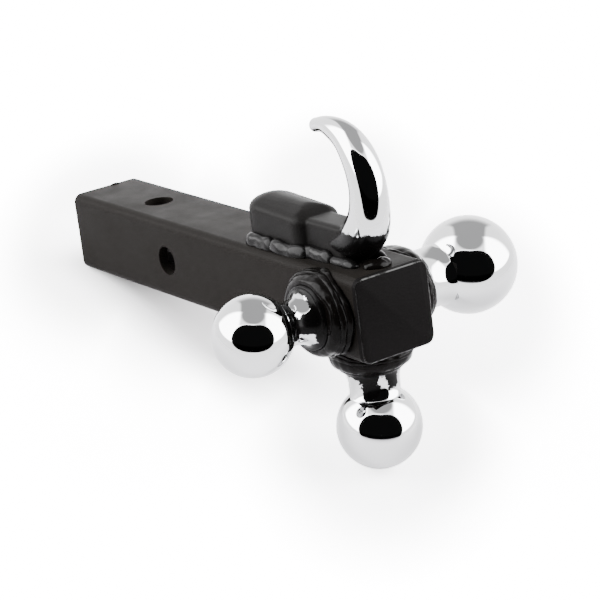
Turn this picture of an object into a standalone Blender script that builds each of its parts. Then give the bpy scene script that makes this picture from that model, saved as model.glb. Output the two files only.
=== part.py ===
"""Tri-ball receiver mount with a tow hook: a square shank, three welded hitch balls and a forged hook.

Frame, in metres: +Y runs along the shank to the end that enters the receiver, +Z is the hook's side, +X is
the large ball's side. The origin is on the shank's centreline, on the axis of the sideways pin hole.
"""

import math

import bmesh
import bpy
from mathutils import Matrix, Vector

GAP = 0.0003  # clearance between neighbouring pieces

# Shank: square tube for a 2-inch receiver.
SHANK_SIDE = 0.0508
SHANK_WALL = 0.00635
SHANK_CORNER = 0.0055
INNER_CORNER = 0.0015
SHANK_LENGTH = 0.3188
SHANK_FRONT = -0.2068
SHANK_REAR = SHANK_FRONT + SHANK_LENGTH
PIN_HOLE_RADIUS = 0.0093
PIN_CUTTER_LENGTH = 0.0610  # goes through both walls
TOP_HOLE_STATION = 0.0445  # the sideways hole is at the origin, this one nearer the rear end

# Front cap and the seam bead between it and the tube.
CAP_THICKNESS = 0.0032
SEAM_WIDTH = 0.0018
SEAM_DEPTH = 0.0030
SEAM_INSET = 0.0003

# Balls: radius, reach from the shank's face to the centre, neck radius, collar radius, distance of the axis
# behind the front face, the weld's outer radius along the shank and across it, and the ball's direction.
BALLS = {
    "small_ball": dict(radius=0.0238125, reach=0.0487, neck=0.0130, collar=0.0190, station=0.0352,
                       weld=0.0310, across=0.0258, direction=(-1, 0, 0)),
    "medium_ball": dict(radius=0.0254, reach=0.0504, neck=0.0150, collar=0.0195, station=0.0298,
                        weld=0.0252, across=0.0252, direction=(0, 0, -1)),
    "large_ball": dict(radius=0.02936875, reach=0.0547, neck=0.0180, collar=0.0218, station=0.0353,
                       weld=0.0310, across=0.0252, direction=(1, 0, 0)),
}
COLLAR_HEIGHT = 0.0125
FLARE_HEIGHT = 0.0115
COLLAR_CHAMFER = 0.0010
SPHERE_STEPS = 20
FLARE_STEPS = 6
TURN_STEPS = 40

# Ball welds: a root pass in the corner, with a fill and a cover pass over it.
WELD_HEIGHT = 0.0115
ROOT_PASS_LEG = 0.0032
PASS_SPLIT = 42  # angle up from the face, in degrees, between the fill pass and the cover pass
PASS_GAP = 2.8
PASS_GROOVE = 0.10  # depth of the groove between two passes, as a share of the weld's thickness
PASS_STEPS = 5
WELD_STEPS = 36

# Tow hook: (y behind the front face, z, radius) along the round bar, from the arm to the tip.
HOOK_BAR = (
    (0.0600, 0.0370, 0.0085),
    (0.0420, 0.0370, 0.0105),
    (0.0275, 0.0383, 0.0120),
    (0.0185, 0.0460, 0.0125),
    (0.0137, 0.0600, 0.0116),
    (0.0135, 0.0740, 0.0108),
    (0.0195, 0.0892, 0.0100),
    (0.0290, 0.0983, 0.0084),
    (0.0405, 0.1025, 0.0066),
    (0.0500, 0.1033, 0.0049),
    (0.0570, 0.1021, 0.0042),
)
PAD_FRONT = 0.0640
PAD_REAR = 0.1275
PAD_WIDTH = 0.0320
PAD_TOP = 0.0505
PAD_SHOULDER = 0.0090  # corner radius of the pad's front end
PAD_ROUND = 0.0155  # corner radius of its rear end
ARM_FRONT = 0.0435
ARM_REAR = 0.1075  # inside the pad
ARM_WIDTH = 0.0210
ARM_TOP = 0.0470
ARM_CORNER = 0.0040
FOOT_EDGE = 0.0038
TIP_SWELL = 1.06
TIP_TURN = 7  # degrees, so that the tip's facets don't lie along the bar's

# Hook welds: runs along the pad, the arm and the bend, as (rear end, front end, distance out, leg, height).
HOOK_RUNS = (
    (0.1170, 0.0930, 0.0163, 0.0050, 0.0070),
    (0.0927, 0.0668, 0.0163, 0.0050, 0.0070),
    (0.0635, 0.0430, 0.0108, 0.0050, 0.0070),
    (0.0427, 0.0225, 0.0097, 0.0045, 0.0042),
)
RUN_ROUND = 0.0012
RUN_FULLNESS = 0.8  # 1 is an elliptical face, and less is fuller
RUN_STEPS = 4
TOE_SPAN = (0.0060, 0.0180)
TOE_SIZE = (0.0080, 0.0042)  # half width, height
TOE_CORNER = 0.0050

HALF = SHANK_SIDE / 2


def clear_scene():
    for obj in list(bpy.data.objects):
        bpy.data.objects.remove(obj, do_unlink=True)


def new_collection(name):
    collection = bpy.data.collections.new(name)
    bpy.context.scene.collection.children.link(collection)
    return collection


def new_material(name, colour, metallic, roughness):
    material = bpy.data.materials.new(name)
    material.use_nodes = True
    surface = material.node_tree.nodes["Principled BSDF"]
    surface.inputs["Base Color"].default_value = (*colour, 1)
    surface.inputs["Metallic"].default_value = metallic
    surface.inputs["Roughness"].default_value = roughness
    material.diffuse_color = (*colour, 1)
    return material


def add_part(name, mesh, place, material):
    """A visible sub-part in the object's collection, smooth except at its sharp edges."""
    obj = bpy.data.objects.new(name, mesh)
    obj.matrix_world = place
    mesh.materials.append(material)
    mesh.shade_smooth()
    mesh.set_sharp_from_angle(angle=math.radians(30))
    PARTS.objects.link(obj)
    return obj


def add_helper(name, mesh, place):
    """A hidden solid that Booleans cut with or join on."""
    obj = bpy.data.objects.new(name, mesh)
    obj.matrix_world = place
    obj.hide_render = True
    obj.display_type = "WIRE"
    HELPERS.objects.link(obj)
    return obj


def combine(obj, helper, operation):
    modifier = obj.modifiers.new(helper.name, "BOOLEAN")
    modifier.operation = operation
    modifier.object = helper
    modifier.solver = "EXACT"


def round_edges(obj, width, segments=2):
    modifier = obj.modifiers.new("rounded edges", "BEVEL")
    modifier.width = width
    modifier.segments = segments
    modifier.limit_method = "ANGLE"
    modifier.angle_limit = math.radians(50)


def mesh_of_curve(curve):
    """The solid that a filled or bevelled curve makes, with its caps welded on."""
    guide = bpy.data.objects.new(curve.name, curve)
    bpy.context.scene.collection.objects.link(guide)
    graph = bpy.context.evaluated_depsgraph_get()
    mesh = bpy.data.meshes.new_from_object(guide.evaluated_get(graph))
    bpy.data.objects.remove(guide)
    work = bmesh.new()
    work.from_mesh(mesh)
    bmesh.ops.remove_doubles(work, verts=work.verts, dist=1e-6)
    bmesh.ops.recalc_face_normals(work, faces=work.faces)
    work.to_mesh(mesh)
    work.free()
    return mesh


def slab(name, outlines, thickness):
    """A flat outline, with any inner outlines as holes, extruded evenly about its own XY plane."""
    curve = bpy.data.curves.new(name, "CURVE")
    curve.dimensions = "2D"
    curve.fill_mode = "BOTH"
    curve.extrude = thickness / 2
    for outline in outlines:
        spline = curve.splines.new("POLY")
        spline.points.add(len(outline) - 1)
        for point, (x, y) in zip(spline.points, outline):
            point.co = (x, y, 0, 1)
        spline.use_cyclic_u = True
    return mesh_of_curve(curve)


def arc(centre, radius, start, stop, steps):
    """Points of a circular arc; angles in degrees, both ends included."""
    turns = [math.radians(start + (stop - start) * i / steps) for i in range(steps + 1)]
    return [(centre[0] + radius * math.cos(a), centre[1] + radius * math.sin(a)) for a in turns]


def rounded_rectangle(low, high, radii, steps=6):
    """Outline from corner low to corner high; radii start at the upper right and go anticlockwise."""
    (left, bottom), (right, top) = low, high
    corners = ((right, top, -1, -1), (left, top, 1, -1), (left, bottom, 1, 1), (right, bottom, -1, 1))
    outline = []
    for quarter, ((x, y, inward_x, inward_y), radius) in enumerate(zip(corners, radii)):
        centre = (x + inward_x * radius, y + inward_y * radius)
        outline += arc(centre, radius, 90 * quarter, 90 * quarter + 90, steps)
    return outline


def shank_outline(inset=0.0):
    half = HALF - inset
    return rounded_rectangle((-half, -half), (half, half), [max(SHANK_CORNER - inset, INNER_CORNER)] * 4)


def along_shank(y):
    """Stands an XY outline across the shank, with its middle plane at y."""
    return Matrix.Translation((0, y, 0)) @ Matrix.Rotation(math.radians(90), 4, "X")


def add_shank(steel):
    """The tube, the cap plate in front of it and the seam bead between them."""
    cap_back = SHANK_FRONT + CAP_THICKNESS
    seam_front = cap_back + GAP
    seam_back = seam_front + SEAM_WIDTH
    tube_front = seam_back + GAP
    cap = slab("cap", [shank_outline()], CAP_THICKNESS)
    seam = slab("seam", [shank_outline(SEAM_INSET), shank_outline(SEAM_DEPTH)], SEAM_WIDTH)
    tube = slab("tube", [shank_outline(), shank_outline(SHANK_WALL)], SHANK_REAR - tube_front)
    add_part("front_cap", cap, along_shank((SHANK_FRONT + cap_back) / 2), steel["cap"])
    add_part("cap_seam_bead", seam, along_shank((seam_front + seam_back) / 2), steel["bead"])
    tube_part = add_part("shank_tube", tube, along_shank((tube_front + SHANK_REAR) / 2), steel["shank"])
    holes = {
        "side_pin_hole": Matrix.Rotation(math.radians(90), 4, "Y"),
        "top_pin_hole": Matrix.Translation((0, TOP_HOLE_STATION, 0)),
    }
    for name, place in holes.items():
        cutter = add_helper(name, cylinder(name, PIN_HOLE_RADIUS, PIN_CUTTER_LENGTH), place)
        combine(tube_part, cutter, "DIFFERENCE")


def cylinder(name, radius, length, segments=32):
    mesh = bpy.data.meshes.new(name)
    work = bmesh.new()
    bmesh.ops.create_cone(
        work, cap_ends=True, segments=segments, radius1=radius, radius2=radius, depth=length
    )
    work.to_mesh(mesh)
    work.free()
    return mesh


def facing(direction, station):
    """Place of a ball's base: on the shank's face, with local +Z pointing out along the ball's axis."""
    out = Vector(direction)
    base = out * HALF + Vector((0, SHANK_FRONT + station, 0))
    return Matrix.Translation(base) @ out.to_track_quat("Z", "Y").to_matrix().to_4x4()


def ball_profile(radius, reach, neck, collar):
    """Outer line of a ball forging, from the top of the ball down to the middle of its base, as (r, z)."""
    meet = math.pi - math.asin(neck / radius)
    angles = [meet * i / SPHERE_STEPS for i in range(SPHERE_STEPS + 1)]
    profile = [(radius * math.sin(a), reach + radius * math.cos(a)) for a in angles]
    for i in range(FLARE_STEPS + 1):
        angle = math.pi / 2 * i / FLARE_STEPS
        spread = (collar - neck) * (1 - math.cos(angle))
        profile.append((neck + spread, COLLAR_HEIGHT + FLARE_HEIGHT * (1 - math.sin(angle))))
    profile += [(collar, GAP + COLLAR_CHAMFER), (collar - COLLAR_CHAMFER, GAP), (0, GAP)]
    return profile


def turned(name, profile, place, material):
    """A profile of (r, z) points turned about local Z."""
    mesh = bpy.data.meshes.new(name)
    edges = [(i, i + 1) for i in range(len(profile) - 1)]
    mesh.from_pydata([(r, 0, z) for r, z in profile], edges, [])
    obj = add_part(name, mesh, place, material)
    screw = obj.modifiers.new("turned", "SCREW")
    screw.steps = TURN_STEPS
    screw.render_steps = TURN_STEPS
    screw.use_merge_vertices = True
    screw.merge_threshold = 0.00001
    screw.use_smooth_shade = True
    return obj


def pass_section(collar, leg, start, stop, inner):
    """Section of one weld pass in the corner between the face and the collar, as (r, z).

    start and stop are angles in degrees up from the face; inner is the distance from the corner at which
    the pass begins, or zero for the root pass, which fills the corner itself.
    """
    height = WELD_HEIGHT - GAP
    corner = (collar + GAP, GAP)
    outer = []
    for i in range(PASS_STEPS + 1):
        share = i / PASS_STEPS
        angle = math.radians(start + (stop - start) * share)
        if inner:
            fillet = 1 / math.hypot(math.cos(angle) / leg, math.sin(angle) / height)
            distance = fillet * (1 - PASS_GROOVE + PASS_GROOVE * math.sin(math.pi * share))
        else:
            distance = ROOT_PASS_LEG
        outer.append((corner[0] + distance * math.cos(angle), corner[1] + distance * math.sin(angle)))
    if not inner:
        return [corner] + outer
    return arc(corner, inner, stop, start, 2) + outer


def weld_pass(name, ball, start, stop, inner, place, material):
    """A ring of weld round a ball's collar, lofted because its foot is wider along the shank than across."""
    work = bmesh.new()
    rings = []
    for step in range(WELD_STEPS):
        turn = 2 * math.pi * step / WELD_STEPS
        foot = 1 / math.hypot(math.cos(turn) / ball["weld"], math.sin(turn) / ball["across"])
        section = pass_section(ball["collar"], foot - ball["collar"] - GAP, start, stop, inner)
        rings.append([work.verts.new((r * math.cos(turn), r * math.sin(turn), z)) for r, z in section])
    for ring, following in zip(rings, rings[1:] + rings[:1]):
        for i in range(len(ring)):
            work.faces.new((ring[i - 1], ring[i], following[i], following[i - 1]))
    bmesh.ops.recalc_face_normals(work, faces=work.faces)
    mesh = bpy.data.meshes.new(name)
    work.to_mesh(mesh)
    work.free()
    add_part(name, mesh, place, material)


def add_balls(steel):
    """Three ball forgings, each with a root pass, a fill pass on the face and a cover pass on the collar."""
    for name, ball in BALLS.items():
        place = facing(ball["direction"], ball["station"])
        profile = ball_profile(ball["radius"], ball["reach"], ball["neck"], ball["collar"])
        turned(name, profile, place, steel["ball"])
        start = ROOT_PASS_LEG + GAP
        weld_pass(name + "_root_pass", ball, 0, 90, 0, place, steel["bead"])
        weld_pass(name + "_fill_pass", ball, 0, PASS_SPLIT - PASS_GAP, start, place, steel["bead"])
        weld_pass(name + "_cover_pass", ball, PASS_SPLIT + PASS_GAP, 90, start, place, steel["bead"])


def hook_bar():
    """The hook's round bar: a smooth curve through HOOK_BAR, thick at the bend and thin at the tip."""
    curve = bpy.data.curves.new("hook_bar", "CURVE")
    curve.dimensions = "3D"
    curve.bevel_depth = 1
    curve.bevel_resolution = 3
    curve.resolution_u = 5
    curve.use_fill_caps = True
    spline = curve.splines.new("BEZIER")
    spline.bezier_points.add(len(HOOK_BAR) - 1)
    for point, (y, z, radius) in zip(spline.bezier_points, HOOK_BAR):
        point.co = (0, SHANK_FRONT + y, z)
        point.handle_left_type = "AUTO"
        point.handle_right_type = "AUTO"
        point.radius = radius
    return mesh_of_curve(curve)


def foot_block(name, front, rear, width, top, front_corner, rear_corner):
    """A flat block on the shank's top, with rounded corners in plan and rounded edges."""
    bottom = HALF + GAP
    radii = (rear_corner, rear_corner, front_corner, front_corner)
    outline = rounded_rectangle((-width / 2, front), (width / 2, rear), radii, 8)
    block = slab(name, [outline], top - bottom)
    helper = add_helper(name, block, Matrix.Translation((0, SHANK_FRONT, (bottom + top) / 2)))
    round_edges(helper, FOOT_EDGE)
    return helper


def add_hook(steel):
    """The forged hook: round bar and ball tip joined to the arm and the wide pad that lie on the shank."""
    hook = add_part("tow_hook", hook_bar(), Matrix(), steel["hook"])
    tip_y, tip_z, tip_radius = HOOK_BAR[-1]
    tip = bpy.data.meshes.new("hook_tip")
    work = bmesh.new()
    bmesh.ops.create_uvsphere(work, u_segments=16, v_segments=10, radius=TIP_SWELL * tip_radius)
    work.to_mesh(tip)
    work.free()
    turn = Matrix.Rotation(math.radians(TIP_TURN), 4, "X")
    place = Matrix.Translation((0, SHANK_FRONT + tip_y, tip_z)) @ turn
    combine(hook, add_helper("hook_tip", tip, place), "UNION")
    arm = foot_block("hook_arm", ARM_FRONT, ARM_REAR, ARM_WIDTH, ARM_TOP, ARM_CORNER, ARM_CORNER)
    combine(hook, arm, "UNION")
    pad = foot_block("hook_pad", PAD_FRONT, PAD_REAR, PAD_WIDTH, PAD_TOP, PAD_SHOULDER, PAD_ROUND)
    combine(hook, pad, "UNION")


def run_outline(leg, height):
    """Section of a side run, as (distance from the foot, height over the shank), with a full face."""
    turns = [math.pi / 2 * i / RUN_STEPS for i in range(RUN_STEPS + 1)]
    face = [(math.cos(a) ** RUN_FULLNESS, math.sin(a) ** RUN_FULLNESS) for a in turns]
    return [(0, 0)] + [(leg * across, height * up) for across, up in face]


def add_hook_welds(steel):
    """Four runs along each side of the foot, and a toe bead under the front of the hook."""
    for side, out, turn in (("left", -1, 180), ("right", 1, 0)):
        upright = Matrix.Rotation(math.radians(turn), 4, "Z") @ Matrix.Rotation(math.radians(90), 4, "X")
        for number, (rear, front, distance, leg, height) in enumerate(HOOK_RUNS, 1):
            name = f"hook_weld_{side}_{number}"
            run = slab(name, [run_outline(leg, height)], rear - front)
            where = (out * distance, SHANK_FRONT + (front + rear) / 2, HALF + GAP)
            part = add_part(name, run, Matrix.Translation(where) @ upright, steel["bead"])
            round_edges(part, RUN_ROUND)
    (toe_front, toe_rear), (toe_half, toe_height) = TOE_SPAN, TOE_SIZE
    outline = rounded_rectangle((-toe_half, toe_front), (toe_half, toe_rear), [TOE_CORNER] * 4)
    toe = slab("toe", [outline], toe_height)
    place = Matrix.Translation((0, SHANK_FRONT, HALF + GAP + toe_height / 2))
    round_edges(add_part("hook_weld_toe", toe, place, steel["bead"]), RUN_ROUND)


def main():
    black = (0.018, 0.017, 0.018)
    chrome = (0.80, 0.81, 0.82)
    steel = {
        "shank": new_material("powder_coat", black, 0.0, 0.45),
        "cap": new_material("powder_coat_front", black, 0.0, 0.50),
        "bead": new_material("coated_weld", black, 0.0, 0.25),
        "ball": new_material("ball_chrome", chrome, 1.0, 0.06),
        "hook": new_material("hook_chrome", chrome, 1.0, 0.08),
    }
    add_shank(steel)
    add_balls(steel)
    add_hook(steel)
    add_hook_welds(steel)


clear_scene()
PARTS = new_collection("tri_ball_mount")
HELPERS = new_collection("cutters_and_joiners")
main()
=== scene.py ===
"""Studio scene of the tri-ball receiver mount with a tow hook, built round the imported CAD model.

Metres. +Y runs along the shank to its open rear end, +Z is the hook's side, +X is the large ball's side.
"""

import math

import bmesh
import bpy
import numpy as np
from mathutils import Matrix, Vector, noise


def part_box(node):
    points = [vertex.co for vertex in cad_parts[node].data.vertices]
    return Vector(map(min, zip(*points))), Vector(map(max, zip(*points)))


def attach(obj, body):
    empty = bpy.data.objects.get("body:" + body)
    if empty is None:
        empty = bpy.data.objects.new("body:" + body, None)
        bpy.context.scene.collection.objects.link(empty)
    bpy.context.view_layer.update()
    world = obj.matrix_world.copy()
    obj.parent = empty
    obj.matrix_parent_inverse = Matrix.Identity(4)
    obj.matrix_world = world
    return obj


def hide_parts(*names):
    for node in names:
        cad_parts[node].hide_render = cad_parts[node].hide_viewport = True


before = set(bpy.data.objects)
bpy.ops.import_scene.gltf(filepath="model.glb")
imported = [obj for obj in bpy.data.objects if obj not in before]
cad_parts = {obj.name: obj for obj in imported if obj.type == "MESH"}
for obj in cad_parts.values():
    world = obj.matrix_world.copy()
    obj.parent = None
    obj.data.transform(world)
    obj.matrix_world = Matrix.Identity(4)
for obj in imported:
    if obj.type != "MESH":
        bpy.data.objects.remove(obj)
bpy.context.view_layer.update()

BODY = "root"
SKIN = 1e-5  # the shank's visible faces lie this far inside the CAD's
GAP = 0.0003  # between neighbouring CAD pieces; the visible cap and seam close it

# Shank, as in the CAD model.
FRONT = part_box("front_cap")[0].y
SHANK_HALF = 0.0254
SHANK_WALL = 0.00635
SHANK_CORNER = 0.0055
INNER_CORNER = 0.0015
PIN_HOLE_RADIUS = 0.0093
PIN_CUTTER_LENGTH = 0.07
TOP_HOLE_STATION = 0.0445  # the sideways hole is at Y = 0
EDGE_ROUND = 0.0006
PLAIN_FRONT = 0.002  # the tube's front edge, hidden behind the cap, keeps its corner
DRIP_SIZE = (0.0034, 0.0013, 0.0008)
DRIP_PLACE = (0.0058, 0.0016)  # sideways, and in front of the rear end

# Cap: (depth behind the front face, inset) down its rim, which is ground by hand.
CAP_RIM = ((0.0, 0.0009), (0.00012, 0.0005), (0.0003, 0.0002), (0.0007, 0.00005), (0.0012, 0.0))
GRIND_DEPTH = 0.0022
GRIND_INSET = 0.00035
GRIND_DENT = 0.00016
WORN_RIM = (0.00002, 0.00042)  # where the rim's paint is worn smooth, behind the front face
SEAM_DIP = 0.00003
SEAM_RINGS = 9
OUTLINE_STEPS = 40

# Balls: reach is the centre's height over the shank's face, and station its distance behind the front face.
# Weld and across are the weld's half widths along the shank and across it.
BALLS = {
    "small_ball": dict(radius=0.0238125, reach=0.0487, neck=0.0130, collar=0.0190, station=0.0352,
                       weld=0.0310, across=0.0258, direction=(-1, 0, 0)),
    "medium_ball": dict(radius=0.0254, reach=0.0504, neck=0.0150, collar=0.0195, station=0.0298,
                        weld=0.0252, across=0.0252, direction=(0, 0, -1)),
    "large_ball": dict(radius=0.02936875, reach=0.0547, neck=0.0180, collar=0.0218, station=0.0353,
                       weld=0.0310, across=0.0252, direction=(1, 0, 0)),
}
BALL_SKIN = 0.9999  # keeps the visible sphere inside the CAD's
COLLAR_HEIGHT = 0.0125
FLARE_HEIGHT = 0.0115
COLLAR_FOOT = ((0.0, 0.006), (0.0, 0.0012), (0.001, 0.0003))  # inset, height
SPHERE_STEPS = 60
FLARE_STEPS = 16
TURN_STEPS = 144

# Ball welds. Each pass: the CAD node's ending, its first and last angle up from the shank's face (degrees),
# its ridges, and the ripples round it.
PASSES = {
    "fill_bead": ("_fill_pass", 0, 43, 2, 17),
    "cover_bead": ("_cover_pass", 41, 90, 1, 15),
    "root_bead": ("_root_pass", 0, 90, 0, 0),
}
WELD_HEIGHT = 0.0115
ROOT_PASS_LEG = 0.0032
WELD_TURN_STEPS = 300
RIDGED_STEPS = 22
PLAIN_STEPS = 4

# Tow hook: (y behind the front face, z, radius) along the bar, from the arm to the tip.
HOOK_BAR = (
    (0.0600, 0.0355, 0.0085),
    (0.0420, 0.0357, 0.0105),
    (0.0275, 0.0383, 0.0120),
    (0.0185, 0.0460, 0.0125),
    (0.0137, 0.0600, 0.0116),
    (0.0135, 0.0740, 0.0108),
    (0.0195, 0.0892, 0.0100),
    (0.0290, 0.0982, 0.0084),
    (0.0405, 0.1022, 0.0066),
    (0.0500, 0.1030, 0.0049),
    (0.0570, 0.1019, 0.0042),
)
TIP_STEPS = 12
ROOT_TOP = 0.0625  # below this the throat of the bend spreads out over the arm
ROOT_DEPTH = 0.0170
ROOT_SPREAD = 0.0085

# Hook's foot: stacked plans of the pad and the arm. The crown is (inset, rise over the shoulder), and the
# arm's shoulder (inset, z).
PAD = dict(front=FRONT + 0.0640, rear=FRONT + 0.1275, half=0.0160, front_round=0.0090, rear_round=0.0155)
PAD_BASE = ((0.0006, 0.0001), (0.0, 0.0012))  # inset, and height over the shank
PAD_SHOULDER = 0.0460
PAD_CROWN = (
    (0.0, 0.0), (0.0006, 0.0014), (0.0018, 0.0028), (0.0042, 0.0043),
    (0.0078, 0.0056), (0.0118, 0.0064), (0.0150, 0.0067),
)
PAD_RISE = 0.0012  # how far the crown climbs to the rear
PAD_DROP = 0.0011  # the shoulder's drop at the front
PAD_NOSE = (0.22, 0.0016)  # share of the length over which the nose bends down, and by how much
ARM = dict(front=FRONT + 0.0300, rear=FRONT + 0.0900, half=0.0105, front_round=0.004, rear_round=0.004)
ARM_LIFT = 0.0001  # gap between the arm and the shank
ARM_SHOULDER = ((0.0, 0.0445), (0.0010, 0.0460), (0.0026, 0.0468))
LEAST_ROUND = 0.0008
FOOT_VOXEL = 0.0007
FOOT_SMOOTHING = 10

# Hook welds: side runs as (rear end, front end, distance out, leg, height), then the toe bead.
HOOK_RUNS = (
    (0.1170, 0.0930, 0.0163, 0.0050, 0.0070),
    (0.0927, 0.0668, 0.0163, 0.0050, 0.0070),
    (0.0635, 0.0430, 0.0108, 0.0050, 0.0070),
    (0.0427, 0.0225, 0.0097, 0.0045, 0.0042),
)
RUN_OUT = 0.0004  # a run's line lies this much outside the CAD's
RUN_RISE = 1.02
RUN_PAST = 0.0042  # a run's line goes this far past its ends
RUN_TURN = 0.0080  # a run that starts farther out has come in by this distance from its rear end
SECOND_RUN_BEND = (0.0060, 0.0080, 0.0044)  # from this far behind its front to this far ahead, and inward
THIRD_RUN_SHIFT = 0.0040  # it starts this much farther out and farther back
TOE_LINE = ((-0.0085, 0.0150), (0.0, 0.0105), (0.0085, 0.0150))  # sideways, and behind the front face
TOE_SIZE = (0.0055, 0.0044)

# Camera, and the floor, which the bottom ball and the shank's rear lower edge touch.
CAMERA_PLACE = (-0.7530, -1.2960, 0.4330)
CAMERA_AZIMUTH = -32.379
CAMERA_ELEVATION = 17.557
CAMERA_ROLL = -7.311
LENS = 148.09
SENSOR = 36.0
FLOOR_TILT = math.radians(14.87)
FLOOR_DROP = -0.0533
FLOOR_RADIUS = 0.78
FLOOR_SHIFT = 0.52  # from the object to the paper's near rim

# Light. The camera sees a brighter backdrop and paper than the chrome reflects. The paper's extra
# brightness is a painted glow, dimmer round the object as painted shade.
BACKDROP_SEEN = 26.0
BACKDROP_LIGHT = 4.8
BOX_LIGHT = 21.0
PAINTED_GLOW_NEAR = 3.0
PAINTED_GLOW_FAR = 12.0
PAPER_SQUEEZE = 0.5  # the dim area is drawn as the camera sees it, foreshortened
# Centres of the painted shade round the object, where the paper's painted glow is low.
PAINTED_SHADE_PLACES = (  # sideways, and away from the camera when below zero
    (0.173, -0.249), (0.109, -0.206), (0.047, -0.171),
    (-0.013, -0.030), (-0.064, -0.180), (0.017, -0.300),
)
PAINTED_SHADE_REACH = (0.044, 0.098)  # distances from those places at which the paper is dim, and bright
SHADOW_WIDTH = (0.010, 0.050)  # the shade under the shank, to either side of its centreline
SHADOW_ENDS = ((-0.12, -0.03, 0, 1), (0.11, 0.15, 1, 0))  # along Y: from, to, shade before and after
# Boxes and strip, in degrees: swing from the camera's side, lift over the floor, pitch over the top.
BOX_SWING = (112, 124)
BOX_TOP = (58, 66)
BOX_FOOT = (1, 3)
STRIP_PITCH = (60, 140)
STRIP_HALF = (0.58, 0.38)  # the strip's half width at those pitches
STRIP_EDGE = (0.90, 1.15)
STRIP_START = (60, 64)
STRIP_END = (145, 174)
STRIP_SHARE = 0.22
ROOM_SHARE = 0.0004
ROOM_MIDDLE = (-3.0, 23.0)  # the dark opening round the camera: swing and lift, in degrees
ROOM_HALF = (63.0, 38.0)
ROOM_SQUARENESS = 2.7
ROOM_EDGE = (0.97, 1.03)


# ---------------------------------------------------------------- meshes

def link(name, mesh, place=None, material=None):
    obj = bpy.data.objects.new(name, mesh)
    bpy.context.scene.collection.objects.link(obj)
    if place is not None:
        obj.matrix_world = place
    if material is not None:
        mesh.materials.append(material)
    return obj


def stand_for(obj, node):
    """Puts a visible piece on the body, in the place of its CAD node."""
    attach(obj, BODY)
    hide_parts(node)


def bake(obj):
    """Replaces the object's mesh by its evaluated one and drops the modifiers."""
    graph = bpy.context.evaluated_depsgraph_get()
    mesh = bpy.data.meshes.new_from_object(obj.evaluated_get(graph))
    obj.modifiers.clear()
    obj.data = mesh


def mesh_from(name, points, faces, smooth=True):
    """Closed mesh whose normals point outward."""
    mesh = bpy.data.meshes.new(name)
    mesh.from_pydata([tuple(p) for p in points], [], faces)
    if smooth:
        mesh.shade_smooth()
    mesh.update()
    work = bmesh.new()
    work.from_mesh(mesh)
    bmesh.ops.remove_doubles(work, verts=work.verts, dist=1e-7)
    bmesh.ops.recalc_face_normals(work, faces=work.faces)
    work.to_mesh(mesh)
    work.free()
    return mesh


def grid_faces(rows, columns, closed_rows, closed_columns):
    """Quads over a grid of points numbered row by row."""
    faces = []
    for i in range(rows if closed_rows else rows - 1):
        for j in range(columns if closed_columns else columns - 1):
            a, b = i * columns + j, i * columns + (j + 1) % columns
            c, d = ((i + 1) % rows) * columns + (j + 1) % columns, ((i + 1) % rows) * columns + j
            faces.append((a, b, c, d))
    return faces


def stack_faces(points, columns):
    """Faces of a solid made of stacked rings, with one face over each end."""
    count = len(points)
    ends = [tuple(range(columns)), tuple(range(count - 1, count - columns - 1, -1))]
    return grid_faces(count // columns, columns, False, True) + ends


def rounded_box(low, high, radii, steps=12):
    (left, bottom), (right, top) = low, high
    corners = (
        (right, top, -1, -1), (left, top, 1, -1), (left, bottom, 1, 1), (right, bottom, -1, 1),
    )
    points = []
    for quarter, ((x, y, ix, iy), r) in enumerate(zip(corners, radii)):
        for i in range(steps + 1):
            a = math.radians(90 * (quarter + i / steps))
            points.append((x + ix * r + r * math.cos(a), y + iy * r + r * math.sin(a)))
    return points


def rounded_square(half, corner, steps=10):
    return rounded_box((-half, -half), (half, half), (corner,) * 4, steps)


def rough(p, scale, seed=0.0):
    """Smooth noise from about -1 to 1."""
    return noise.noise(Vector((p[0] * scale + seed, p[1] * scale - seed, p[2] * scale + 2 * seed)))


def clamp(value):
    return min(max(value, 0.0), 1.0)


def spline(keys, values, at):
    """Natural cubic spline through values at keys."""
    keys, values = np.array(keys, float), np.array(values, float)
    n = len(keys)
    h = np.diff(keys)
    m = np.zeros((n, n))
    rhs = np.zeros((n, values.shape[1]))
    m[0, 0] = m[-1, -1] = 1
    for i in range(1, n - 1):
        m[i, i - 1], m[i, i], m[i, i + 1] = h[i - 1], 2 * (h[i - 1] + h[i]), h[i]
        rhs[i] = 6 * ((values[i + 1] - values[i]) / h[i] - (values[i] - values[i - 1]) / h[i - 1])
    bend = np.linalg.solve(m, rhs)
    out = []
    for t in at:
        i = min(max(int(np.searchsorted(keys, t)) - 1, 0), n - 2)
        a, b = (keys[i + 1] - t) / h[i], (t - keys[i]) / h[i]
        out.append(a * values[i] + b * values[i + 1]
                   + ((a ** 3 - a) * bend[i] + (b ** 3 - b) * bend[i + 1]) * h[i] ** 2 / 6)
    return np.array(out)


# ---------------------------------------------------------------- material nodes

def new_material(name):
    material = bpy.data.materials.new(name)
    material.use_nodes = True
    nodes = material.node_tree.nodes
    nodes.clear()
    return material, nodes, material.node_tree.links


def noise_node(nodes, links, coordinate, scale, detail=4.0, roughness=0.55):
    node = nodes.new("ShaderNodeTexNoise")
    node.inputs["Scale"].default_value = scale
    node.inputs["Detail"].default_value = detail
    node.inputs["Roughness"].default_value = roughness
    links.new(coordinate, node.inputs["Vector"])
    return node.outputs["Fac"]


def remap(nodes, links, value, span, to, smooth=False):
    node = nodes.new("ShaderNodeMapRange")
    node.interpolation_type = "SMOOTHSTEP" if smooth else "LINEAR"
    node.clamp = True
    for socket, number in zip(("From Min", "From Max", "To Min", "To Max"), (*span, *to)):
        node.inputs[socket].default_value = number
    links.new(value, node.inputs["Value"])
    return node.outputs["Result"]


def maths(nodes, links, operation, *values):
    node = nodes.new("ShaderNodeMath")
    node.operation = operation
    for socket, value in zip(node.inputs, values):
        if isinstance(value, (int, float)):
            socket.default_value = value
        else:
            links.new(value, socket)
    return node.outputs["Value"]


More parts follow.
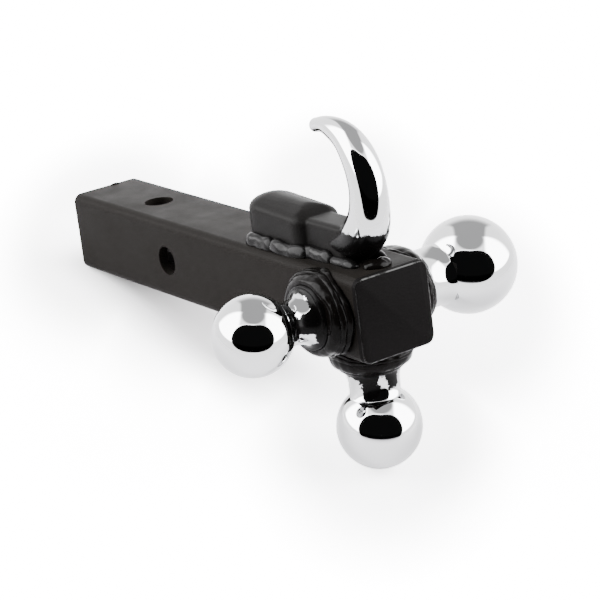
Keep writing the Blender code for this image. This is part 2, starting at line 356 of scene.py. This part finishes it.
def product(nodes, links, first, *others):
    for value in others:
        first = maths(nodes, links, "MULTIPLY", first, value)
    return first


def offset_from(nodes, links, value, middle):
    """Distance of a value from its middle, either way."""
    return maths(nodes, links, "ABSOLUTE", maths(nodes, links, "SUBTRACT", value, middle))


def vector_maths(nodes, links, operation, vector, constant, output="Value"):
    node = nodes.new("ShaderNodeVectorMath")
    node.operation = operation
    links.new(vector, node.inputs[0])
    node.inputs[1].default_value = tuple(constant)
    return node.outputs[output]


def axis_of(nodes, links, vector, axis):
    node = nodes.new("ShaderNodeSeparateXYZ")
    links.new(vector, node.inputs["Vector"])
    return node.outputs[axis]


def bump(nodes, links, height, distance, strength, before=None):
    node = nodes.new("ShaderNodeBump")
    node.inputs["Distance"].default_value = distance
    node.inputs["Strength"].default_value = strength
    links.new(height, node.inputs["Height"])
    if before is not None:
        links.new(before, node.inputs["Normal"])
    return node.outputs["Normal"]


def mix_colours(nodes, links, factor, first, second):
    """Mix of two colours, each a tuple or a socket."""
    node = nodes.new("ShaderNodeMix")
    node.data_type = "RGBA"
    links.new(factor, node.inputs["Factor"])
    for socket, colour in (("A", first), ("B", second)):
        if isinstance(colour, tuple):
            node.inputs[socket].default_value = (*colour, 1)
        else:
            links.new(colour, node.inputs[socket])
    return node.outputs["Result"]


def mix_shaders(nodes, links, factor, first, second):
    mix = nodes.new("ShaderNodeMixShader")
    links.new(factor, mix.inputs["Fac"])
    links.new(first, mix.inputs[1])
    links.new(second, mix.inputs[2])
    return mix.outputs["Shader"]


# ---------------------------------------------------------------- materials

def paint_surface(nodes, links, coordinate, gloss, grain, tone, specular):
    """Black coat: fine orange peel, slow changes of gloss and faint dust."""
    surface = nodes.new("ShaderNodeBsdfPrincipled")
    slow = noise_node(nodes, links, coordinate, 38, 3)
    peel = noise_node(nodes, links, coordinate, grain, 2, 0.45)
    specks = noise_node(nodes, links, coordinate, 1900, 2, 0.6)
    dust = remap(nodes, links, specks, (0.66, 0.78), (0, 1))
    colour = mix_colours(nodes, links, dust, tone, tuple(3.2 * c for c in tone))
    roughness = remap(nodes, links, slow, (0.3, 0.7), (gloss - 0.05, gloss + 0.06))
    links.new(colour, surface.inputs["Base Color"])
    links.new(roughness, surface.inputs["Roughness"])
    surface.inputs["Specular IOR Level"].default_value = specular
    links.new(bump(nodes, links, peel, 0.00006, 0.55), surface.inputs["Normal"])
    return surface.outputs["BSDF"]


def black_paint(name, gloss, grain, tone, specular, rim=None):
    """Paint; where the coordinate along the shank lies inside rim, it is worn smooth and glints."""
    material, nodes, links = new_material(name)
    coordinate = nodes.new("ShaderNodeTexCoord").outputs["Object"]
    shader = paint_surface(nodes, links, coordinate, gloss, grain, tone, specular)
    if rim:
        front, rear = rim
        along = axis_of(nodes, links, coordinate, "Y")
        ragged = product(nodes, links, noise_node(nodes, links, coordinate, 330, 3, 0.6), -0.0007)
        place = maths(nodes, links, "ADD", along, ragged)
        patches = noise_node(nodes, links, coordinate, 190, 3, 0.65)
        inside = product(
            nodes, links,
            remap(nodes, links, along, (front, front + 0.00006), (0, 1)),
            remap(nodes, links, place, (rear - 0.0003, rear), (1, 0)),
            remap(nodes, links, patches, (0.40, 0.56), (0.15, 1)),
        )
        glint = paint_surface(nodes, links, coordinate, 0.20, 700, tone, 0.13)
        shader = mix_shaders(nodes, links, inside, shader, glint)
    links.new(shader, nodes.new("ShaderNodeOutputMaterial").inputs["Surface"])
    return material


def chrome_surface(nodes, links, coordinate):
    """Polished plating: faint buffing lines, slow waviness and a few dull specks."""
    surface = nodes.new("ShaderNodeBsdfPrincipled")
    surface.inputs["Metallic"].default_value = 1.0
    slow = noise_node(nodes, links, coordinate, 45, 2)
    lines = nodes.new("ShaderNodeMapping")
    lines.inputs["Scale"].default_value = (1.0, 1.0, 9.0)
    links.new(coordinate, lines.inputs["Vector"])
    buffing = noise_node(nodes, links, lines.outputs["Vector"], 420, 3, 0.6)
    specks = noise_node(nodes, links, coordinate, 700, 3, 0.6)
    colour = mix_colours(nodes, links, slow, (0.39, 0.394, 0.40), (0.44, 0.443, 0.446))
    roughness = maths(
        nodes, links, "ADD",
        remap(nodes, links, buffing, (0.4, 0.75), (0.03, 0.06)),
        remap(nodes, links, specks, (0.68, 0.78), (0.0, 0.10)),
    )
    links.new(colour, surface.inputs["Base Color"])
    links.new(roughness, surface.inputs["Roughness"])
    wavy = bump(nodes, links, slow, 0.0005, 0.05)
    links.new(bump(nodes, links, buffing, 0.000004, 0.30, wavy), surface.inputs["Normal"])
    return surface.outputs["BSDF"]


def chrome(name, edge, ragged, tongues=()):
    """Chrome that turns to black paint below edge along local Z, with a ragged border.

    Each tongue of paint reaches farther out: (local direction across it, its middle, half width, length).
    """
    material, nodes, links = new_material(name)
    coordinate = nodes.new("ShaderNodeTexCoord").outputs["Object"]
    metal = chrome_surface(nodes, links, coordinate)
    paint = paint_surface(nodes, links, coordinate, 0.20, 500, (0.0010, 0.0009, 0.0009), 0.03)

    def centred(noise_value, size):
        return product(nodes, links, maths(nodes, links, "SUBTRACT", noise_value, 0.5), size)

    shift = maths(
        nodes, links, "ADD",
        centred(noise_node(nodes, links, coordinate, 150, 2, 0.5), ragged),
        centred(noise_node(nodes, links, coordinate, 900, 4, 0.7), ragged * 0.6),
    )
    height = maths(nodes, links, "ADD", axis_of(nodes, links, coordinate, "Z"), shift)
    for direction, middle, half, length in tongues:
        across = vector_maths(nodes, links, "DOT_PRODUCT", coordinate, direction)
        away = offset_from(nodes, links, across, middle)
        away = maths(nodes, links, "ADD", away, product(nodes, links, shift, 0.5))
        reach = remap(nodes, links, away, (0.5 * half, half), (length, 0), True)
        height = maths(nodes, links, "SUBTRACT", height, reach)
    border = remap(nodes, links, height, (edge - 0.00025, edge + 0.00025), (1, 0))
    shader = mix_shaders(nodes, links, border, metal, paint)
    links.new(shader, nodes.new("ShaderNodeOutputMaterial").inputs["Surface"])
    return material


def painted_paper_glow(nodes, links, coordinate, under):
    """Extra brightness of the paper, a painted glow: low in the painted shade round the object, and none in
    the painted shadow under the shank.
    """
    squeezed = vector_maths(nodes, links, "MULTIPLY", coordinate, (1.0, PAPER_SQUEEZE, 1.0), "Vector")
    nearest = None
    for across, toward in PAINTED_SHADE_PLACES:
        place = (across, (toward + FLOOR_RADIUS - FLOOR_SHIFT) * PAPER_SQUEEZE, 0.0)
        spot = vector_maths(nodes, links, "DISTANCE", squeezed, place)
        nearest = spot if nearest is None else maths(nodes, links, "MINIMUM", nearest, spot)
    lift = remap(nodes, links, nearest, PAINTED_SHADE_REACH, (PAINTED_GLOW_NEAR, PAINTED_GLOW_FAR), True)
    return product(nodes, links, lift, maths(nodes, links, "SUBTRACT", 1.0, under))


def floor_paper():
    """White paper with a painted shadow under the shank and a painted glow, that fades into the backdrop
    round its rim.
    """
    material, nodes, links = new_material("studio_paper")
    coordinate = nodes.new("ShaderNodeTexCoord").outputs["Object"]
    position = nodes.new("ShaderNodeNewGeometry").outputs["Position"]
    # Painted shadow under the shank: 1 under its centreline, fading out to the sides and ends.
    sideways = maths(nodes, links, "ABSOLUTE", axis_of(nodes, links, position, "X"))
    along = axis_of(nodes, links, position, "Y")
    under = remap(nodes, links, sideways, SHADOW_WIDTH, (1, 0), True)
    for start, stop, before, after in SHADOW_ENDS:
        reach = remap(nodes, links, along, (start, stop), (before, after), True)
        under = product(nodes, links, under, reach)

    surface = nodes.new("ShaderNodeBsdfPrincipled")
    fibre = noise_node(nodes, links, coordinate, 260, 3)
    white = mix_colours(nodes, links, fibre, (0.74, 0.735, 0.75), (0.765, 0.76, 0.775))
    # Painted shadow: the paper's colour turns grey under the shank.
    tone = mix_colours(nodes, links, under, white, (0.46, 0.455, 0.46))
    links.new(tone, surface.inputs["Base Color"])
    surface.inputs["Roughness"].default_value = 0.75
    surface.inputs["Specular IOR Level"].default_value = 0.2
    links.new(bump(nodes, links, fibre, 0.00003, 0.2), surface.inputs["Normal"])

    # Painted glow: the paper emits light that only the camera sees, dimmer round the object as painted
    # shade.
    glow = nodes.new("ShaderNodeEmission")
    seen = nodes.new("ShaderNodeLightPath").outputs["Is Camera Ray"]
    lift = product(nodes, links, painted_paper_glow(nodes, links, coordinate, under), seen)
    links.new(lift, glow.inputs["Strength"])
    lit = nodes.new("ShaderNodeAddShader")
    links.new(surface.outputs["BSDF"], lit.inputs[0])
    links.new(glow.outputs["Emission"], lit.inputs[1])

    from_middle = vector_maths(nodes, links, "DISTANCE", coordinate, (0.0, 0.0, 0.0))
    fade = remap(nodes, links, from_middle, (FLOOR_RADIUS * 0.45, FLOOR_RADIUS * 0.95), (0, 1), True)
    clear = nodes.new("ShaderNodeBsdfTransparent").outputs["BSDF"]
    shader = mix_shaders(nodes, links, fade, lit.outputs["Shader"], clear)
    links.new(shader, nodes.new("ShaderNodeOutputMaterial").inputs["Surface"])
    return material


# ---------------------------------------------------------------- shank

def tube_mesh(name, outer, inner, front, rear):
    """Square tube along Y."""
    points = []
    for outline, y in ((outer, front), (outer, rear), (inner, rear), (inner, front)):
        points += [(x, y, z) for x, z in outline]
    return mesh_from(name, points, grid_faces(4, len(outer), True, True), False)


def cut_pin_hole(tube, name, place):
    work = bmesh.new()
    bmesh.ops.create_cone(work, cap_ends=True, segments=96, radius1=PIN_HOLE_RADIUS,
                          radius2=PIN_HOLE_RADIUS, depth=PIN_CUTTER_LENGTH)
    mesh = bpy.data.meshes.new(name)
    work.to_mesh(mesh)
    work.free()
    cutter = link("cut_" + name, mesh, place)
    cut = tube.modifiers.new(name, "BOOLEAN")
    cut.object, cut.solver, cut.operation = cutter, "EXACT", "DIFFERENCE"
    bake(tube)
    bpy.data.objects.remove(cutter)


def add_paint_drip(mesh, place):
    """A small hardened drip on the rear top edge."""
    work = bmesh.new()
    work.from_mesh(mesh)
    shape = Matrix.Translation(place) @ Matrix.Diagonal((*DRIP_SIZE, 1))
    made = bmesh.ops.create_icosphere(work, subdivisions=3, radius=1, matrix=shape)
    for vertex in made["verts"]:
        for face in vertex.link_faces:
            face.smooth = True
    work.to_mesh(mesh)
    work.free()


def bevel_sharp_edges(obj, width, behind, angle=35):
    """Rounds the sharp edges that lie behind a station along Y."""
    work = bmesh.new()
    work.from_mesh(obj.data)
    layer = work.edges.layers.float.new("bevel_weight_edge")
    for edge in work.edges:
        sharp = len(edge.link_faces) == 2 and edge.calc_face_angle() > math.radians(angle)
        edge[layer] = 1.0 if sharp and min(v.co.y for v in edge.verts) > behind else 0.0
    work.to_mesh(obj.data)
    work.free()
    modifier = obj.modifiers.new("edge", "BEVEL")
    modifier.width, modifier.segments = width, 3
    modifier.limit_method = "WEIGHT"
    modifier.harden_normals = True


def build_shank(materials):
    low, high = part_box("shank_tube")
    front, rear = low.y, high.y
    outer = rounded_square(SHANK_HALF - SKIN, SHANK_CORNER)
    inner = rounded_square(SHANK_HALF - SHANK_WALL, INNER_CORNER)
    mesh = tube_mesh("shank_body", outer, inner, front, rear)
    tube = link("shank_body", mesh, material=materials["coat"])
    cut_pin_hole(tube, "side", Matrix.Rotation(math.pi / 2, 4, "Y"))
    cut_pin_hole(tube, "top", Matrix.Translation((0, TOP_HOLE_STATION, 0)))
    tube.data.shade_smooth()
    tube.data.set_sharp_from_angle(angle=math.radians(30))
    sideways, from_rear = DRIP_PLACE
    add_paint_drip(tube.data, Vector((sideways, rear - from_rear, SHANK_HALF)))
    bevel_sharp_edges(tube, EDGE_ROUND, front + PLAIN_FRONT)
    stand_for(tube, "shank_tube")


def build_cap(materials):
    """Cap plate whose front rim is rounded and ground by hand."""
    low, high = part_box("front_cap")
    points = []
    for depth, inset in (*CAP_RIM, (high.y - low.y + GAP, 0.0)):
        share = max(0.0, 1 - depth / GRIND_DEPTH)
        half, corner = SHANK_HALF - SKIN - inset, SHANK_CORNER - 0.5 * inset
        for x, z in rounded_square(half, corner, OUTLINE_STEPS):
            p = (x, low.y + depth, z)
            ripple = 0.5 + 0.5 * rough(p, 420) + 0.5 * rough(p, 1100, 3.0)
            scale = 1 - share * ripple * GRIND_INSET / SHANK_HALF
            dent = share * GRIND_DENT * max(ripple, 0) if depth else 0.0
            points.append((x * scale, low.y + depth + dent, z * scale))
    mesh = mesh_from("cap_plate", points, stack_faces(points, 4 * (OUTLINE_STEPS + 1)))
    mesh.set_sharp_from_angle(angle=math.radians(60))
    stand_for(link("cap_plate", mesh, material=materials["front"]), "front_cap")


def build_seam(materials):
    """Ground weld between the cap and the tube, with a faint uneven dip along it."""
    low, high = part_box("cap_seam_bead")
    points = []
    for i in range(SEAM_RINGS):
        t = i / (SEAM_RINGS - 1)
        y = low.y + (high.y - low.y + GAP) * t
        for x, z in rounded_square(SHANK_HALF - SKIN, SHANK_CORNER, OUTLINE_STEPS):
            dip = math.sin(math.pi * t) * SEAM_DIP * (1 + rough((x, y, z), 600, 7.0))
            scale = 1 - max(dip, 0) / SHANK_HALF
            points.append((x * scale, y, z * scale))
    mesh = mesh_from("cap_seam", points, stack_faces(points, 4 * (OUTLINE_STEPS + 1)))
    mesh.set_sharp_from_angle(angle=math.radians(60))
    stand_for(link("cap_seam", mesh, material=materials["coat"]), "cap_seam_bead")


# ---------------------------------------------------------------- balls

def facing(direction, station):
    """Frame on the shank's face with Z out along the ball's axis."""
    out = Vector(direction)
    base = out * SHANK_HALF + Vector((0, FRONT + station, 0))
    return Matrix.Translation(base) @ out.to_track_quat("Z", "Y").to_matrix().to_4x4()


def ball_profile(radius, reach, neck, collar):
    """(radius, height) from the top of the ball down its neck and flared collar to the base's middle."""
    meet = math.pi - math.asin(neck / radius)
    profile = []
    for i in range(SPHERE_STEPS + 1):
        a = meet * i / SPHERE_STEPS
        profile.append((radius * math.sin(a), reach + radius * math.cos(a)))
    for i in range(1, FLARE_STEPS + 1):
        a = math.pi / 2 * i / FLARE_STEPS
        flare = neck + (collar - neck) * (1 - math.cos(a))
        profile.append((flare, COLLAR_HEIGHT + FLARE_HEIGHT * (1 - math.sin(a))))
    profile += [(collar - inset, height) for inset, height in COLLAR_FOOT]
    return profile + [(0.0, COLLAR_FOOT[-1][1])]


def build_ball(name, ball, materials):
    place = facing(ball["direction"], ball["station"])
    profile = ball_profile(ball["radius"] * BALL_SKIN, ball["reach"], ball["neck"], ball["collar"])
    points = []
    for step in range(TURN_STEPS):
        turn = 2 * math.pi * step / TURN_STEPS
        points += [(r * math.cos(turn), r * math.sin(turn), z) for r, z in profile]
    mesh = mesh_from(name, points, grid_faces(TURN_STEPS, len(profile), True, False))
    forging = link(name + "_forging", mesh, place, materials[name])
    stand_for(forging, name)
    build_ball_weld(name, ball, place, materials)


def corner_drop(distance):
    """How far the shank's rounded edge falls below its flat face, this far from the centreline."""
    over = min(max(abs(distance) - (SHANK_HALF - SHANK_CORNER), 0.0), SHANK_CORNER)
    return SHANK_CORNER - math.sqrt(SHANK_CORNER ** 2 - over ** 2)


def weld_section(collar, leg, height, turn, weld_pass, seed):
    """(radius, height) round one section of a pass, closed inside the collar.

    The fill and the cover are ridges of overlapping ripples, and the root, which they hide, is plain.
    """
    start, stop, ridges, ripples = weld_pass
    c, s = math.cos(turn), math.sin(turn)
    steps = RIDGED_STEPS if ridges else PLAIN_STEPS
    uneven = 0.00025 if start else 0.00060
    section = []
    for j in range(steps + 1):
        share = j / steps
        angle = math.radians(start + (stop - start) * share)
        distance = ROOT_PASS_LEG
        if ridges:
            wave = math.sin(math.pi * ridges * share)
            chevron = turn * ripples + 1.4 * wave + 0.9 * rough((c, s, 5.0), 2.2, seed)
            ripple = abs(math.sin(chevron / 2)) ** 0.6
            distance = 1 / math.hypot(math.cos(angle) / leg, math.sin(angle) / height)
            distance *= 0.93 + 0.08 * abs(wave) ** 0.7
            distance += 0.00008 * (ripple - 1) + uneven * rough((c, s, angle), 2.4, seed)
            distance += 0.00008 * rough((c, s, angle), 9.0, seed)
        section.append((collar + distance * math.cos(angle), distance * math.sin(angle)))
    inside, top = collar - 0.0002, section[-1][1] - (0.002 if ridges else 0.0)
    return section + [(inside, top), (inside, 0.0002 if start == 0 else top * 0.5)]


def build_ball_weld(name, ball, place, materials):
    """Three passes of weld that wrap over the shank's rounded edges."""
    weld, across, collar = ball["weld"], ball["across"], ball["collar"]
    seed = 3.1 * list(BALLS).index(name) + 1.7
    along_y = place.to_3x3().transposed() @ Vector((0, 1, 0))
    for piece, (ending, *weld_pass) in PASSES.items():
        points = []
        for i in range(WELD_TURN_STEPS):
            turn = 2 * math.pi * i / WELD_TURN_STEPS
            c, s = math.cos(turn), math.sin(turn)
            along, aside = c * along_y.x + s * along_y.y, c * along_y.y - s * along_y.x
            foot = 1 / math.hypot(along / weld, aside / across)
            swell = 0.0006 + 0.0011 * rough((c, s, seed), 1.6, seed)
            swell += 0.0006 * rough((c, s, seed), 5.0, seed)
            leg = foot + swell - collar - GAP
            height = WELD_HEIGHT + 0.0009 * rough((c, s, 2 + seed), 1.9, seed)
            for r, z in weld_section(collar, leg, height, turn, weld_pass, seed):
                x, y = r * c, r * s
                over = corner_drop(y * along_y.x - x * along_y.y) * max(0.0, 1 - z / WELD_HEIGHT) ** 1.2
                points.append((x, y, z - over))
        columns = len(points) // WELD_TURN_STEPS
        mesh = mesh_from(name + piece, points, grid_faces(WELD_TURN_STEPS, columns, True, True))
        bead = link(f"{name}_{piece}", mesh, place, materials["bead"])
        stand_for(bead, name + ending)


# ---------------------------------------------------------------- tow hook

def bar_rings(shrink=0.0, share=1.0, count=110, around=64):
    """Rings of points along the hook's bar, or its first share; the whole bar has a rounded tip."""
    knots = np.array(HOOK_BAR)
    keys = np.concatenate([[0], np.cumsum(np.linalg.norm(np.diff(knots[:, :2], axis=0), axis=1))])
    line = spline(keys, knots, np.linspace(0.0, share * keys[-1], count))
    rings = []
    for i, (y, z, r) in enumerate(line):
        a, b = line[max(i - 1, 0)], line[min(i + 1, count - 1)]
        along = np.array([0, b[0] - a[0], b[1] - a[1]])
        along /= np.linalg.norm(along)
        rings.append((np.array([0, FRONT + y, z]), along, r - shrink))
    if share == 1.0:
        centre, along, r = rings[-1]
        for k in range(1, TIP_STEPS + 1):
            a = math.pi / 2 * k / TIP_STEPS
            swell = 1 + 0.05 * math.sin(2 * a)
            small = max(r * math.cos(a) * swell, 1e-5)
            rings.append((centre + along * r * 1.02 * math.sin(a), along, small))
    points = []
    for centre, along, r in rings:
        side = np.array([1.0, 0, 0])
        up = np.cross(side, along)
        for k in range(around):
            a = 2 * math.pi * k / around
            p = centre + r * (math.cos(a) * side + math.sin(a) * up)
            behind = clamp((p[1] - centre[1]) / r)
            low = clamp((ROOT_TOP - p[2]) / ROOT_DEPTH)
            p[1] += ROOT_SPREAD * behind * low ** 2
            points.append(p)
    return points, stack_faces(points, around)


def stacked(plans):
    """Closed solid through plans of equal length, each with its height: a number or a function of y."""
    points = []
    for plan, z in plans:
        points += [(x, y, z(y) if callable(z) else z) for x, y in plan]
    return points, stack_faces(points, len(plans[0][0]))


def inset_plan(shape, inset):
    front_round = max(shape["front_round"] - inset, LEAST_ROUND)
    rear_round = max(shape["rear_round"] - inset, LEAST_ROUND)
    low = (-shape["half"] + inset, shape["front"] + inset)
    high = (shape["half"] - inset, shape["rear"] - inset)
    return rounded_box(low, high, (rear_round, rear_round, front_round, front_round))


def crown_height(rise):
    """Height of the pad's crown: it slopes up to the rear, and its nose bends down."""
    slope = PAD_RISE * rise / PAD_CROWN[-1][1]
    nose, bend = PAD_NOSE

    def height(y):
        t = (y - PAD["front"]) / (PAD["rear"] - PAD["front"])
        drop = (PAD_DROP + slope) * (1 - t)
        return PAD_SHOULDER + rise + slope - drop - bend * max(0.0, nose - t) / nose
    return height


def build_hook(materials):
    """The chromed bar, and its painted foot: pad, arm and the bar's root forged into one skin."""
    bar = link("hook_bar", mesh_from("hook_bar", *bar_rings()), material=materials["hook"])
    stand_for(bar, "tow_hook")

    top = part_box("shank_tube")[1].z
    pad = stacked([(inset_plan(PAD, inset), top + height) for inset, height in PAD_BASE]
                  + [(inset_plan(PAD, inset), crown_height(rise)) for inset, rise in PAD_CROWN])
    arm = stacked([(inset_plan(ARM, inset), z) for inset, z in ((0.0, top + ARM_LIFT), *ARM_SHOULDER)])
    root = bar_rings(shrink=0.00025, share=0.30, count=30, around=40)
    points, faces = [], []
    for some_points, some_faces in (pad, arm, root):
        start = len(points)
        points += some_points
        faces += [tuple(start + i for i in face) for face in some_faces]
    foot = link("hook_foot", mesh_from("hook_foot", points, faces))
    forged = foot.modifiers.new("forged", "REMESH")
    forged.mode, forged.voxel_size, forged.use_smooth_shade = "VOXEL", FOOT_VOXEL, True
    soften = foot.modifiers.new("soften", "SMOOTH")
    soften.factor, soften.iterations = 0.5, FOOT_SMOOTHING
    bake(foot)
    foot.data.shade_smooth()
    foot.data.materials.append(materials["foot"])
    stand_for(foot, "tow_hook")


def bead_points(path, width, height, lumps, seed, steps=90, around=28):
    """A run of weld along path: overlapping round-ended lumps, flat underneath."""
    path = [Vector(p) for p in path]
    lengths = [0.0]
    for a, b in zip(path, path[1:]):
        lengths.append(lengths[-1] + (b - a).length)
    up = Vector((0, 0, 1))
    points = []
    for i in range(steps + 1):
        t = i / steps
        s = t * lengths[-1]
        k = max(j for j in range(len(path) - 1) if lengths[j] <= s + 1e-12)
        centre = path[k].lerp(path[k + 1], (s - lengths[k]) / (lengths[k + 1] - lengths[k]))
        along = (path[k + 1] - path[k]).normalized()
        side = up.cross(along).normalized()
        end = max(0.0, 1 - abs(2 * t - 1) ** 5) ** 0.5
        for j in range(around):
            a = 2 * math.pi * j / around
            c, s = math.cos(a), math.sin(a)
            wave = t * lumps + 0.07 * c + 0.12 * rough((t * 4, 0, 0), 1.0, seed)
            lump = 1.0 - 0.12 * abs(math.cos(math.pi * wave)) ** 4
            r = end * (lump + 0.13 * rough((t * 5, 0.5 * c, 0.5 * s), 0.95, seed))
            z = height * s * r
            points.append(centre + side * (width * c * r) + up * (z if z > 0 else 0.15 * z))
    return points, stack_faces(points, around)


def run_line(number, out, rear, front, distance):
    """Line of a side run. Run 2 bends in towards the arm at its front, and run 3 starts beside the bend."""
    x = out * (distance + RUN_OUT)
    start = x
    if number == 3:
        start, rear = x + THIRD_RUN_SHIFT * out, rear + THIRD_RUN_SHIFT
    line = [(start, FRONT + rear + RUN_PAST), (x, FRONT + rear - RUN_TURN)]
    if number == 2:
        behind, ahead, inward = SECOND_RUN_BEND
        line += [(x, FRONT + front + behind), (x - inward * out, FRONT + front - ahead)]
    else:
        line += [(x, FRONT + front - RUN_PAST)]
    return [(across, y, SHANK_HALF) for across, y in line]


def build_hook_welds(materials):
    for side, out in (("left", -1), ("right", 1)):
        for number, (rear, front, distance, leg, height) in enumerate(HOOK_RUNS, 1):
            line = run_line(number, out, rear, front, distance)
            lumps, seed = 2 if number == 2 else 1, number + out * 0.4 + 9
            mesh = mesh_from("bead", *bead_points(line, leg - GAP, height * RUN_RISE, lumps, seed))
            bead = link(f"hook_bead_{side}_{number}", mesh, material=materials["run"])
            stand_for(bead, f"hook_weld_{side}_{number}")
    line = [(across, FRONT + behind, SHANK_HALF) for across, behind in TOE_LINE]
    mesh = mesh_from("bead", *bead_points(line, *TOE_SIZE, 1, 4.4))
    stand_for(link("hook_bead_toe", mesh, material=materials["bead"]), "hook_weld_toe")


# ---------------------------------------------------------------- studio

def floor_frame():
    """The floor's sideways axis, the way to the camera along it, and up."""
    up = Vector((0, -math.sin(FLOOR_TILT), math.cos(FLOOR_TILT)))
    to_camera = Vector(CAMERA_PLACE) - Vector((0, FRONT + 0.05, 0))
    along = (to_camera - up * to_camera.dot(up)).normalized()
    return along.cross(up).normalized(), along, up


def build_floor():
    side, along, up = floor_frame()
    near = Vector((0, FRONT + 0.03, 0))
    middle = near - up * (near.dot(up) - FLOOR_DROP) - along * (FLOOR_RADIUS - FLOOR_SHIFT)
    work = bmesh.new()
    bmesh.ops.create_circle(work, cap_ends=True, segments=160, radius=FLOOR_RADIUS)
    mesh = bpy.data.meshes.new("floor")
    work.to_mesh(mesh)
    work.free()
    turn = Matrix((side, along, up)).transposed().to_4x4()
    link("floor", mesh, Matrix.Translation(middle) @ turn, floor_paper())


def radians_of(*values):
    return tuple(math.radians(value) for value in values)


def room_share(nodes, links, swing, lift):
    """1 inside the dark opening round the camera, a rounded oblong in swing and lift, and 0 outside."""
    away = None
    for angle, middle, half in zip((swing, lift), radians_of(*ROOM_MIDDLE), radians_of(*ROOM_HALF)):
        far = maths(nodes, links, "DIVIDE", offset_from(nodes, links, angle, middle), half)
        far = maths(nodes, links, "POWER", far, ROOM_SQUARENESS)
        away = far if away is None else maths(nodes, links, "ADD", away, far)
    return remap(nodes, links, away, ROOM_EDGE, (1, 0))


def studio_light(nodes, links):
    """Strength of the light from each direction, in the floor's frame."""
    direction = nodes.new("ShaderNodeTexCoord").outputs["Generated"]
    across, toward, upward = (
        vector_maths(nodes, links, "DOT_PRODUCT", direction, axis) for axis in floor_frame()
    )
    wide = maths(nodes, links, "ABSOLUTE", across)
    swing = maths(nodes, links, "ARCTAN2", wide, toward)
    lift = maths(nodes, links, "ARCSINE", upward)
    pitch = maths(nodes, links, "ARCTAN2", upward, toward)
    boxes = product(
        nodes, links,
        remap(nodes, links, swing, radians_of(*BOX_SWING), (1, 0), True),
        remap(nodes, links, lift, radians_of(*BOX_TOP), (1, 0), True),
        remap(nodes, links, lift, radians_of(*BOX_FOOT), (0, 1)),
    )
    strip_half = remap(nodes, links, pitch, radians_of(*STRIP_PITCH), STRIP_HALF)
    strip = product(
        nodes, links,
        remap(nodes, links, maths(nodes, links, "DIVIDE", wide, strip_half), STRIP_EDGE, (1, 0), True),
        remap(nodes, links, pitch, radians_of(*STRIP_START), (0, 1)),
        remap(nodes, links, pitch, radians_of(*STRIP_END), (1, 0), True),
    )
    room = room_share(nodes, links, maths(nodes, links, "ARCTAN2", across, toward), lift)
    lit = maths(nodes, links, "ADD", BACKDROP_LIGHT, product(nodes, links, boxes, BOX_LIGHT))
    return product(
        nodes, links, lit,
        remap(nodes, links, strip, (0, 1), (1.0, STRIP_SHARE)),
        remap(nodes, links, room, (0, 1), (1.0, ROOM_SHARE)),
    )


def build_world():
    """Two white soft boxes either side, a grey strip over the middle, and the dark round the camera."""
    world = bpy.data.worlds.new("studio")
    world.use_nodes = True
    bpy.context.scene.world = world
    nodes, links = world.node_tree.nodes, world.node_tree.links
    nodes.clear()
    lights = nodes.new("ShaderNodeBackground")
    lights.inputs["Color"].default_value = (1, 0.995, 1, 1)
    links.new(studio_light(nodes, links), lights.inputs["Strength"])
    backdrop = nodes.new("ShaderNodeBackground")
    backdrop.inputs["Color"].default_value = (0.99, 0.985, 0.995, 1)
    backdrop.inputs["Strength"].default_value = BACKDROP_SEEN
    seen = nodes.new("ShaderNodeLightPath").outputs["Is Camera Ray"]
    shader = mix_shaders(nodes, links, seen, lights.outputs["Background"], backdrop.outputs["Background"])
    links.new(shader, nodes.new("ShaderNodeOutputWorld").inputs["Surface"])


def build_camera():
    data = bpy.data.cameras.new("camera")
    data.lens, data.sensor_width, data.sensor_fit = LENS, SENSOR, "HORIZONTAL"
    data.clip_start, data.clip_end = 0.05, 20
    camera = bpy.data.objects.new("camera", data)
    bpy.context.scene.collection.objects.link(camera)
    turn = (Matrix.Rotation(math.radians(CAMERA_AZIMUTH), 4, "Z")
            @ Matrix.Rotation(math.radians(90 - CAMERA_ELEVATION), 4, "X")
            @ Matrix.Rotation(math.radians(CAMERA_ROLL), 4, "Z"))
    camera.matrix_world = Matrix.Translation(CAMERA_PLACE) @ turn
    bpy.context.scene.camera = camera


# ---------------------------------------------------------------- assembly

def local(name, direction):
    """A world direction in the ball's own frame."""
    return facing(BALLS[name]["direction"], 0.0).to_3x3().transposed() @ Vector(direction)


def make_materials():
    rim = tuple(FRONT + depth for depth in WORN_RIM)
    azimuth = math.radians(CAMERA_AZIMUTH)
    view_across = (math.cos(azimuth), math.sin(azimuth), 0)
    small_up, medium_across = local("small_ball", (0, 0, 1)), local("medium_ball", view_across)
    return {
        "coat": black_paint("shank_powder_coat", 0.40, 950, (0.0042, 0.0037, 0.0033), 0.010),
        # The front cap's coat is a darker, less specular copy of the shank's coat: painted shade on the
        # front face.
        "front": black_paint("front_coat_painted_shade", 0.42, 950, (0.0026, 0.0024, 0.0024), 0.006, rim),
        "bead": black_paint("coated_weld", 0.15, 700, (0.0012, 0.0010, 0.0009), 0.028),
        "run": black_paint("coated_run", 0.20, 700, (0.0014, 0.0013, 0.0013), 0.045),
        "foot": black_paint("hook_foot_coat", 0.36, 800, (0.0036, 0.0034, 0.0033), 0.018),
        "small_ball": chrome("small_ball_chrome", 0.0152, 0.006, [(small_up, 0.0012, 0.0072, 0.0120)]),
        "medium_ball": chrome("medium_ball_chrome", 0.0155, 0.011, [
            (medium_across, -0.0030, 0.0066, 0.0135),
            (medium_across, 0.0100, 0.0044, 0.0095),
        ]),
        "large_ball": chrome("large_ball_chrome", 0.0118, 0.003),
        "hook": chrome("hook_chrome", 0.0458, 0.007, [((0, 1, 0), FRONT + 0.0520, 0.0185, 0.0100)]),
    }


materials = make_materials()
build_shank(materials)
build_cap(materials)
build_seam(materials)
for ball_name, ball in BALLS.items():
    build_ball(ball_name, ball, materials)
build_hook(materials)
build_hook_welds(materials)
build_floor()
build_world()
build_camera()

bpy.context.view_layer.update()
